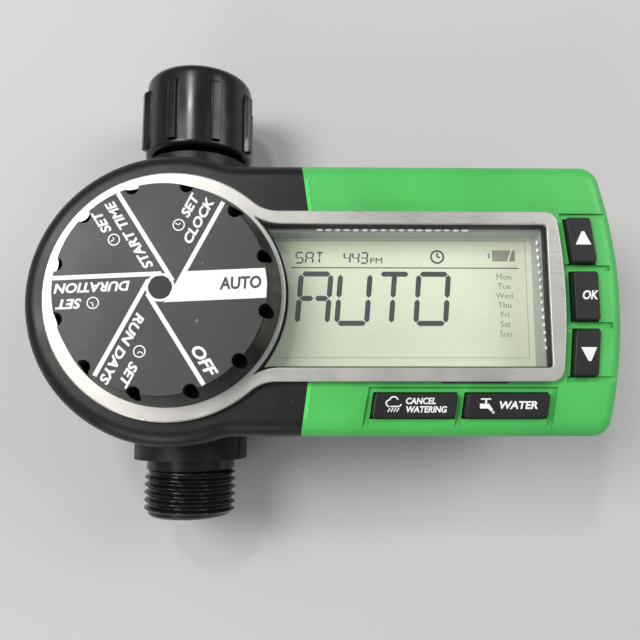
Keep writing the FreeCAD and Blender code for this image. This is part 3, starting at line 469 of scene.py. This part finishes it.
def dial_words():
    for name, text, degrees, word_spot, set_spot, icon_spot, width in DIAL_WORDS:
        angle = math.radians(degrees) + DIAL_TURN
        spots = [dial_point(angle, out * MM, left * MM) for out, left in (word_spot, set_spot, icon_spot)]
        dial_word(f"dial_{name}", text, SETTING_CAP, spots[0], angle, width * MM, **DIAL_STYLE)
        dial_word(f"dial_set_{name}", "SET", SETTING_CAP, spots[1], angle, SET_WIDTH, **DIAL_STYLE)
        icon = bmesh.new()
        clock_icon(icon, (0, 0), DIAL_CLOCK_RADIUS, LABEL_TOP, LABEL_TOP + PRINT)
        mesh = from_bmesh("clock_icon", icon)
        mesh.transform(Matrix.Translation((*spots[2], 0)) @ Matrix.Rotation(angle, 4, "Z"))
        piece(f"dial_icon_{name}", mesh, WHITE, "dial")
    angle = 5 * SETTING_STEP + DIAL_TURN
    off_spot = dial_point(angle, 20.4 * MM, -0.45 * MM)
    dial_word("dial_off", "OFF", 2.85 * MM, off_spot, angle, 8.3 * MM, **DIAL_STYLE)
    auto_spot = dial_point(DIAL_TURN, 19.4 * MM, 0.1 * MM)
    dial_word("dial_auto", "AUTO", 2.95 * MM, auto_spot, DIAL_TURN, 10.2 * MM, DARK_INK, POINTER_WORD_LIFT,
              bold=0.045, lean=0.1)


# ---- display -------------------------------------------------------------------------------
INK_LOW = PANEL_TOP + 0.005 * MM
INK_HIGH = PANEL_TOP + 0.03 * MM
SEGMENT_LEAN = math.tan(math.radians(4.8))
# Each stroke of a segment character, by its ends in halves of the character's width and height.
STROKES = {
    "a": ((0, 2), (2, 2)), "b": ((2, 2), (2, 1)), "c": ((2, 1), (2, 0)), "d": ((0, 0), (2, 0)),
    "e": ((0, 1), (0, 0)), "f": ((0, 2), (0, 1)), "g": ((0, 1), (1, 1)), "k": ((1, 1), (2, 1)),
    "i": ((1, 2), (1, 1)), "l": ((1, 1), (1, 0)),
}
CHARACTERS = {
    "A": "abcefgk", "U": "bcdef", "T": "ail", "O": "abcdef", "S": "afgkcd", "4": "fgkbc", "3": "abgkcd",
}
# A line of segment characters, in millimetres: its left end and foot, then a character's width, height,
# pitch and stroke.
MODE_TEXT = ("AUTO", 32.6, -6.15, 8.1, 13.6, 10.75, 1.4)
DAY_TEXT = ("SAT", 32.1, 10.5, 1.9, 2.9, 2.75, 0.42)
TIME_TEXT = ("443", 45.3, 10.5, 1.7, 2.9, 2.35, 0.42)
DAYS = ("Mon", "Tue", "Wed", "Thu", "Fri", "Sat", "Sun")
DAY_PITCH = 2.62


def segments(shape, line):
    """Adds a line of segment characters whose strokes have pointed ends."""
    left, bottom, width, height, pitch, thick = (size * MM for size in line[1:])
    for i, letter in enumerate(line[0]):
        for stroke in CHARACTERS[letter]:
            ends = []
            for x, y in STROKES[stroke]:
                rise = y * height / 2
                ends.append(Vector((left + i * pitch + x * width / 2 + rise * SEGMENT_LEAN, bottom + rise)))
            along = (ends[1] - ends[0]).normalized() * thick * 0.62
            bar(shape, ends[0] + along, ends[1] - along, thick, INK_LOW, INK_HIGH, thick * 0.48)


def on_glass(name, shape, finish):
    piece(name, from_bmesh(name, shape), finish, "casing")


def display_words():
    """The mode in big segments over a rule, the day, time and clock sign above it, and the week."""
    big = bmesh.new()
    segments(big, MODE_TEXT)
    bar(big, (30.9 * MM, 9.2 * MM), (93.4 * MM, 9.2 * MM), 0.28 * MM, INK_LOW, INK_HIGH)
    on_glass("display_big_segments", big, SEGMENT_INK)
    small = bmesh.new()
    segments(small, DAY_TEXT)
    segments(small, TIME_TEXT)
    clock_icon(small, (71.1 * MM, 12.3 * MM), 1.95 * MM, INK_LOW, INK_HIGH, 0.24)
    on_glass("display_small_segments", small, SEGMENT_INK)
    pm_spot = (54.3 * MM, 11.15 * MM)
    word("display_pm", "PM", 1.6 * MM, pm_spot, INK_HIGH, SEGMENT_INK, "casing", "lcd_glass", width=3.3 * MM)
    for i, day in enumerate(DAYS):
        spot = (89.3 * MM, (6.7 - DAY_PITCH * i) * MM)
        word(f"display_day_{i}", day, 1.7 * MM, spot, INK_HIGH, PALE_SEGMENT_INK, "casing", "lcd_glass")


def display_battery():
    """The battery sign: a full part and an empty part with a slanted gap, and the cap at its left."""
    shape = bmesh.new()
    left, right, low, high = 86.3 * MM, 92.6 * MM, 11.1 * MM, 14.2 * MM
    full = [(left, low), (right - 2.2 * MM, low), (right - 1.2 * MM, high), (left, high)]
    rest = [(right - 1.7 * MM, low), (right, low), (right, high), (right - 0.7 * MM, high)]
    prism(shape, full, INK_LOW, INK_HIGH)
    prism(shape, rest, INK_LOW, INK_HIGH)
    inset = 0.9 * MM
    bar(shape, (left - inset, low + inset), (left - inset, high - inset), 0.5 * MM, INK_LOW, INK_HIGH)
    on_glass("display_battery", shape, PALE_SEGMENT_INK)


def display_border():
    """The thin line round the display's field, open towards the dial."""
    shape = bmesh.new()
    start, end, bottom, top = 27 * MM, 95.5 * MM, -15.5 * MM, 16.9 * MM
    for a, b in (((start, top), (end, top)), ((start, bottom), (end, bottom)), ((end, bottom), (end, top))):
        bar(shape, a, b, 0.12 * MM, INK_LOW, INK_HIGH)
    on_glass("display_border", shape, PALE_SEGMENT_INK)


# Sizes of a bead along X, Y and Z in millimetres, in each row.
FAR_BEAD = (1.0, 0.36, 0.5)
END_BEAD = (0.36, 0.6, 0.5)
BEAD_DEPTH = 0.85 * MM


def frame_beads():
    """Rounded diffuser beads in a row along the far and end walls of the window; the moulded bumps are real,
    their near-white colour is a painted highlight.
    """
    shape = bmesh.new()
    far_row = [((38.6 + 2.42 * i) * MM, WINDOW_HALF - 0.5 * MM) for i in range(17)]
    end_row = [(WINDOW_END - (1.5 - 0.085 * i) * MM, (14.6 - 2.0 * i) * MM) for i in range(15)]
    beads = [(spot, FAR_BEAD) for spot in far_row] + [(spot, END_BEAD) for spot in end_row]
    for (x, y), scale in beads:
        size = Matrix.Diagonal((*(part * random.uniform(0.8, 1.1) * MM for part in scale), 1))
        bmesh.ops.create_uvsphere(shape, u_segments=14, v_segments=8, radius=1.0,
                                  matrix=Matrix.Translation((x, y, FACE_TOP - BEAD_DEPTH)) @ size)
    # Painted highlight: the beads are near white and glossy so that they show as bright dots along the walls.
    finish = Finish("bead_painted_highlight", (0.92, 0.93, 0.92), 0.12, Specular_IOR_Level=0.8)
    finish.mottle(400.0, 0.15).uneven(300.0, 0.05).grain(900.0, 0.00001)
    piece("frame_beads", from_bmesh("frame_beads", shape), finish.done(), "casing", True)


def window_wall_shade():
    """Thin dark sheets on the walls of the window's opening, on three sides: painted shade in the recess."""
    shape = bmesh.new()
    low, high = FACE_TOP - 2.1 * MM, FACE_TOP + 1.7 * MM
    start, outer, end = 25.5 * MM, WINDOW_HALF + 0.09 * MM, WINDOW_END + 0.09 * MM
    thick = 0.08 * MM
    prism(shape, [(start, outer - thick), (end, outer - thick), (end, outer), (start, outer)], low, high)
    prism(shape, [(start, -outer), (end, -outer), (end, thick - outer), (start, thick - outer)], low, high)
    prism(shape, [(end - thick, thick - outer), (end, thick - outer), (end, outer - thick),
                  (end - thick, outer - thick)], low, high)
    # Painted shade: the dark sheets stand in for the shade on the window's walls.
    piece("window_wall_shade", from_bmesh("window_wall_shade", shape), MATERIALS["rubber"], "casing")


# ---- keys ----------------------------------------------------------------------------------

def key_middle(node):
    low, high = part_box(node)
    return (low.x + high.x) / 2, (low.y + high.y) / 2


def key_word(name, text, cap, spot, body, width, lean=0.22):
    word(name, text, cap, spot, KEY_TOP + PRINT / 2, WHITE, body, "key", width=width, bold=0.045, lean=lean)


# The blunt triangle on the up key, in millimetres, and its place on the key. The down key mirrors it.
ARROW = [(-2.05, -1.75), (2.05, -1.75), (0.35, 1.8), (-0.35, 1.8)]
ARROW_SHIFT = (0.35, 0.45)


def key_prints():
    low, high = KEY_TOP, KEY_TOP + PRINT
    for node, body, way in (("key_up", "up_key", 1), ("key_down", "down_key", -1)):
        x, y = key_middle(node)
        x += ARROW_SHIFT[0] * MM
        shape = bmesh.new()
        points = [(x + px * MM, y + (py + ARROW_SHIFT[1]) * way * MM) for px, py in ARROW]
        prism(shape, points[::way], low, high)
        piece(f"{node}_arrow", from_bmesh(node, shape), WHITE, body)
    x, y = key_middle("key_ok")
    key_word("key_ok_word", "OK", 2.3 * MM, (x + 0.5 * MM, y), "ok_key", 4.2 * MM, 0.25)
    x, y = key_middle("key_cancel")
    for i, (text, width) in enumerate((("CANCEL", 7.6), ("WATERING", 10.3))):
        spot = (x + (width / 2 - 2.5) * MM, y + (1.05 - 2.1 * i) * MM)
        key_word(f"key_cancel_word_{i}", text, 1.55 * MM, spot, "cancel_key", width * MM)
    cloud_icon(x - 5.5 * MM, y, low, high)
    x, y = key_middle("key_water")
    key_word("key_water_word", "WATER", 1.9 * MM, (x + 2.4 * MM, y), "water_key", 9.6 * MM)
    tap_icon(x - 5.6 * MM, y, low, high)


def cloud_icon(x, y, low, high):
    """A small cloud outline over four slanted drops."""
    shape = bmesh.new()
    pen = 0.17 * MM
    # Each arc's centre and radius in millimetres, then its start and sweep in degrees.
    arcs = [((-1.05, 0.55), 0.8, 95, 195), ((0.1, 1.15), 1.05, 15, 155), ((1.15, 0.5), 0.75, -90, 80)]
    for (cx, cy), radius, start, sweep in arcs:
        annulus(shape, (x + cx * MM, y + cy * MM), radius * MM - pen, radius * MM + pen, low, high, 16,
                math.radians(start), math.radians(sweep))
    bar(shape, (x - 1.1 * MM, y - 0.25 * MM), (x + 1.2 * MM, y - 0.25 * MM), 2 * pen, low, high)
    for i in range(4):
        foot = x + (-1.5 + 0.75 * i) * MM
        bar(shape, (foot, y - 1.6 * MM), (foot + 0.6 * MM, y - 0.65 * MM), 1.6 * pen, low, high)
    piece("key_cancel_cloud", from_bmesh("cloud", shape), WHITE, "cancel_key")


def tap_icon(x, y, low, high):
    """A garden tap with a drop at its mouth."""
    shape = bmesh.new()
    outlines = [
        [(-1.3, 1.45), (1.3, 1.45), (1.3, 1.8), (-1.3, 1.8)],
        [(-0.25, 0.4), (0.25, 0.4), (0.25, 1.45), (-0.25, 1.45)],
        [(-1.6, -0.75), (0.4, -0.75), (1.2, -1.5), (1.7, -1.05), (0.7, 0.45), (-1.6, 0.45)],
    ]
    for outline in outlines:
        prism(shape, [(x + px * MM, y + py * MM) for px, py in outline], low, high)
    annulus(shape, (x + 1.7 * MM, y - 1.7 * MM), 0.16 * MM, 0.34 * MM, low, high, 14)
    piece("key_water_tap", from_bmesh("tap", shape), WHITE, "water_key")


# ---- hose fittings -------------------------------------------------------------------------
THREAD_PITCH = 2.209 * MM
# The ridge's half width in pitches, how much of it is cut off flat, and how fast it fades in and out.
RIDGE_HALF = 0.42
CREST_FLAT = 1.12
FADE_RATE = 2.2


def thread(root, crest, start, end):
    """The radius of a right-handed thread that fades in and out at its ends."""
    def radius(angle, along):
        phase = (along / THREAD_PITCH + angle / math.tau) % 1.0
        ridge = max(0.0, 1 - abs(phase - 0.5) / RIDGE_HALF)
        fade = min(1.0, (along - start) / THREAD_PITCH * FADE_RATE, (end - along) / THREAD_PITCH * FADE_RATE)
        return root + (crest - root) * min(1.0, ridge * CREST_FLAT) * max(0.0, fade)
    return radius


def spread(start, end, count):
    """Evenly spaced values, both ends included."""
    return [start + (end - start) * i / count for i in range(count + 1)]


OUTLET_BORE = 8.5 * MM
OUTLET_ROOT = 12.2 * MM
OUTLET_RING = 13.0 * MM
OUTLET_NECK = 10.2 * MM
OUTLET_SHOULDER = -44.0 * MM


def outlet():
    """The threaded outlet: from its back through the bore to the mouth, then back over the thread."""
    mouth, back = OUTLET_LOW.y, OUTLET_HIGH.y
    bore, root, ring, shoulder = OUTLET_BORE, OUTLET_ROOT, OUTLET_RING, OUTLET_SHOULDER
    crest = OUTLET_HIGH.x - 0.02 * MM
    start, end = mouth + 0.7 * MM, shoulder - 3.05 * MM
    rows = [(back, bore), (mouth + 0.5 * MM, bore), (mouth + 0.1 * MM, bore + 0.3 * MM)]
    rows += [(mouth, bore + 0.7 * MM), (mouth, root - 1.1 * MM), (mouth + 0.15 * MM, root - 0.6 * MM)]
    rows += [(start, root - 0.05 * MM)]
    rows += [(along, thread(root, crest, start, end)) for along in spread(start + 0.02 * MM, end, 130)]
    rows += [(end + 0.02 * MM, ring - 0.15 * MM), (end + 0.2 * MM, ring), (shoulder - 0.3 * MM, ring)]
    rows += [(shoulder - 0.1 * MM, ring - 0.2 * MM), (shoulder, OUTLET_NECK), (back, OUTLET_NECK)]
    mesh = revolved("outlet_thread", rows, spread(0, math.tau, 120)[:-1])
    item = piece("outlet_thread", mesh, FITTING, "casing", True)
    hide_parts("outlet_fitting")


RIB_COUNT = 8
RIB_PITCH = math.tau / RIB_COUNT
RIB_TURN = math.radians(26.5)
RIB_HALF = 1.2 * MM
RIB_RADIUS = 18.1 * MM
RIB_FOOT = 0.18 * MM
RIB_RISE = 0.25 * MM
RIB_FALL = 1.2 * MM
NUT_RADIUS = 16.6 * MM
NUT_BORE = 12.5 * MM
NUT_ROOT = NUT_BORE + 0.75 * MM
NUT_NECK = 10.85 * MM
NUT_ROUNDING = 2.9 * MM
NUT_NARROWING = 2.6 * MM


def nut_angles(radius):
    """Angles round the nut, with extra ones at each rib's edges."""
    angles = []
    edge, foot = RIB_HALF / radius, (RIB_HALF + RIB_FOOT) / radius
    for k in range(RIB_COUNT):
        middle = RIB_TURN + k * RIB_PITCH
        angles += [middle - foot, middle - edge, middle - edge * 0.8]
        angles += [middle, middle + edge * 0.8, middle + edge]
        angles += spread(middle + foot, middle + RIB_PITCH - foot, 9)[:-1]
    return angles


def ribbed(rib_start, rib_end):
    """The nut's outside radius with its ribs, which rise at one end and slope down past the other."""
    def radius(angle, along):
        off = abs((angle - RIB_TURN + RIB_PITCH / 2) % RIB_PITCH - RIB_PITCH / 2) * NUT_RADIUS
        if off > RIB_HALF + 0.05 * MM:
            return NUT_RADIUS
        rise = max(0.0, (along - rib_start) / RIB_RISE)
        fall = max(0.0, (rib_end + RIB_FALL - along) / RIB_FALL)
        crown = 1.0 if off < RIB_HALF * 0.85 else 0.86
        return NUT_RADIUS + (RIB_RADIUS - NUT_RADIUS) * min(1.0, rise, fall) * crown
    return radius


def inlet_nut():
    """The nut: from its neck over the ribs to the rounded mouth, then back through the thread."""
    start, mouth = NUT_LOW.y, NUT_HIGH.y
    rib_start, rib_end = start + 1.6 * MM, mouth - 6.3 * MM
    room = start + 4.4 * MM
    rows = [(room, NUT_NECK), (start + 0.4 * MM, NUT_NECK), (start, NUT_NECK + 0.35 * MM)]
    rows += [(start, NUT_RADIUS - 1.3 * MM), (start + 0.35 * MM, NUT_RADIUS - 0.5 * MM)]
    rows += [(start + 1.1 * MM, NUT_RADIUS)]
    outside = ribbed(rib_start, rib_end)
    rows += [(rib_start + step * MM, outside) for step in (0, 0.12, 0.25, 5)]
    rows += [(rib_end + step * MM, outside) for step in (-4, 0, 0.6, 1.2)]
    for turn in spread(0, math.pi / 2, 8):
        along = mouth - NUT_ROUNDING * (1 - math.sin(turn))
        rows.append((along, NUT_RADIUS - NUT_NARROWING * (1 - math.cos(turn))))
    rows += [(mouth - 0.1 * MM, NUT_BORE + 0.5 * MM), (mouth - 0.6 * MM, NUT_ROOT)]
    thread_low, thread_high = start + 11.2 * MM, mouth - 0.8 * MM
    inside = thread(NUT_ROOT, NUT_BORE, thread_low, thread_high)
    rows += [(along, inside) for along in spread(thread_high, thread_low, 120)]
    rows += [(thread_low - 0.1 * MM, NUT_BORE + 0.8 * MM), (room, NUT_BORE + 0.8 * MM)]
    mesh = revolved("inlet_nut_shell", rows, nut_angles(NUT_RADIUS))
    item = piece("inlet_nut_shell", mesh, FITTING, "inlet_nut", True)
    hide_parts("swivel_nut")


# ---- casing details ------------------------------------------------------------------------

# Flat trim lies on the face: it starts just under the surface.
TRIM_LOW = FACE_TOP - 0.01 * MM
TRIM_HIGH = FACE_TOP + 0.012 * MM


def bezel_gap_shade():
    """A dark bar on the face under the bezel's near edge: painted shade of the gap there."""
    shape = bmesh.new()
    # Painted shade: a thin dark bar lies flat on the face where the gap under the bezel is in shadow.
    bar(shape, (70 * MM, -22.5 * MM), (87 * MM, -22.5 * MM), 0.34 * MM, TRIM_LOW, TRIM_HIGH)
    piece("bezel_gap_shade", from_bmesh("bezel_gap_shade", shape), MATERIALS["rubber"], "casing")


def seam_bevel_highlight():
    """A paler green strip beside the colour seam, a painted highlight for the shell's bevel there, with a
    darker green line along it, painted shade of the moulded step.
    """
    shape, line = bmesh.new(), bmesh.new()
    wide = Vector((1.15, 0)) * MM
    for way in (1, -1):
        far, near = Vector((34.5, 31.6 * way)) * MM, Vector((35.62, 22.75 * way)) * MM
        corners = [near, near + wide, far + wide, far]
        prism(shape, [tuple(corner) for corner in corners[::way]], TRIM_LOW, TRIM_HIGH)
        bar(line, far + wide, near + wide, 0.16 * MM, TRIM_LOW, FACE_TOP + 0.02 * MM)
    # Painted highlight: the flat strip is a lighter copy of the green shell, standing in for light on the
    # bevel.
    bevel = plastic("green_bevel_highlight", (0.07, 0.60, 0.11), 0.4)
    piece("seam_bevel_highlight", from_bmesh("seam_bevel_highlight", shape), bevel, "casing")
    # Painted shade: the line is a darker copy of the green shell, standing in for the shade in the moulded
    # step.
    groove = plastic("green_groove_shade", (0.03, 0.34, 0.05), 0.5)
    piece("seam_step_shade", from_bmesh("seam_step_shade", line), groove, "casing")


# ---- floor, light and camera ---------------------------------------------------------------

FLOOR_HALF = 3.0
FLOOR_COLOR = (0.50, 0.495, 0.485)


def stage():
    """The plain pale floor."""
    shape = bmesh.new()
    bmesh.ops.create_grid(shape, x_segments=1, y_segments=1, size=FLOOR_HALF)
    floor = bpy.data.objects.new("floor", from_bmesh("floor", shape))
    bpy.context.collection.objects.link(floor)
    floor.data.materials.append(Finish("floor_paper", FLOOR_COLOR, 0.85).mottle(3.0, 0.03).done())


def lamp(name, spot, target, size, power, color=(1, 1, 1)):
    """A round soft lamp at a spot, turned to a target."""
    data = bpy.data.lights.new(name, "AREA")
    data.shape = "DISK"
    data.size = size
    data.energy = power
    data.color = color
    item = bpy.data.objects.new(name, data)
    item.location = spot
    item.rotation_euler = (Vector(target) - Vector(spot)).to_track_quat("-Z", "Y").to_euler()
    bpy.context.collection.objects.link(item)


OBJECT_MIDDLE = (0.04, 0, 0.04)
NUT_MIDDLE = (0, 0.06, 0.03)
WORLD_COLOR = (0.93, 0.96, 1.0, 1)
WORLD_STRENGTH = 0.30


def light():
    """One soft key light, two weaker ones beside it, a small one for the nut, and an even sky."""
    lamp("key_light", (-0.40, 0.16, 0.74), OBJECT_MIDDLE, 0.38, 4.8, (1.0, 0.99, 0.97))
    lamp("near_light", (-0.25, -0.62, 0.42), OBJECT_MIDDLE, 0.4, 1.8)
    lamp("far_light", (0.62, 0.25, 0.55), OBJECT_MIDDLE, 0.5, 2.8, (0.98, 0.99, 1.0))
    lamp("nut_light", (-0.17, 0.46, 0.85), NUT_MIDDLE, 0.1, 1.6)
    world = bpy.data.worlds.new("studio")
    world.use_nodes = True
    background = world.node_tree.nodes["Background"]
    background.inputs["Color"].default_value = WORLD_COLOR
    background.inputs["Strength"].default_value = WORLD_STRENGTH
    bpy.context.scene.world = world


CAMERA_SPOT = (0.03643, -0.02812, 0.2225)
LEAN_ALONG = math.radians(7.55)
LEAN_ACROSS = math.radians(0.80)
SENSOR_MM = 36.0
LENS_MM = 36.06


def camera():
    """The camera looks down on the face from 0.22 m, tilted a little towards the tap."""
    data = bpy.data.cameras.new("camera")
    data.sensor_width = SENSOR_MM
    data.lens = LENS_MM
    data.clip_start = 0.01
    item = bpy.data.objects.new("camera", data)
    # The world's axes as the camera sees them: up is the floor's normal.
    up = Vector((math.tan(LEAN_ACROSS), math.tan(LEAN_ALONG), 1)).normalized()
    right = (Vector((1, 0, 0)) - up * up.x).normalized()
    turn = Matrix((right, up.cross(right), up))
    item.matrix_world = Matrix.Translation(CAMERA_SPOT) @ turn.to_4x4()
    bpy.context.collection.objects.link(item)
    bpy.context.scene.camera = item
    bpy.context.scene.view_settings.view_transform = "Standard"


dress_frame()
camera()
light()
stage()
dial_lines()
dial_words()
display_words()
display_battery()
display_border()
frame_beads()
key_prints()
outlet()
inlet_nut()
bezel_gap_shade()
seam_bevel_highlight()
window_wall_shade()
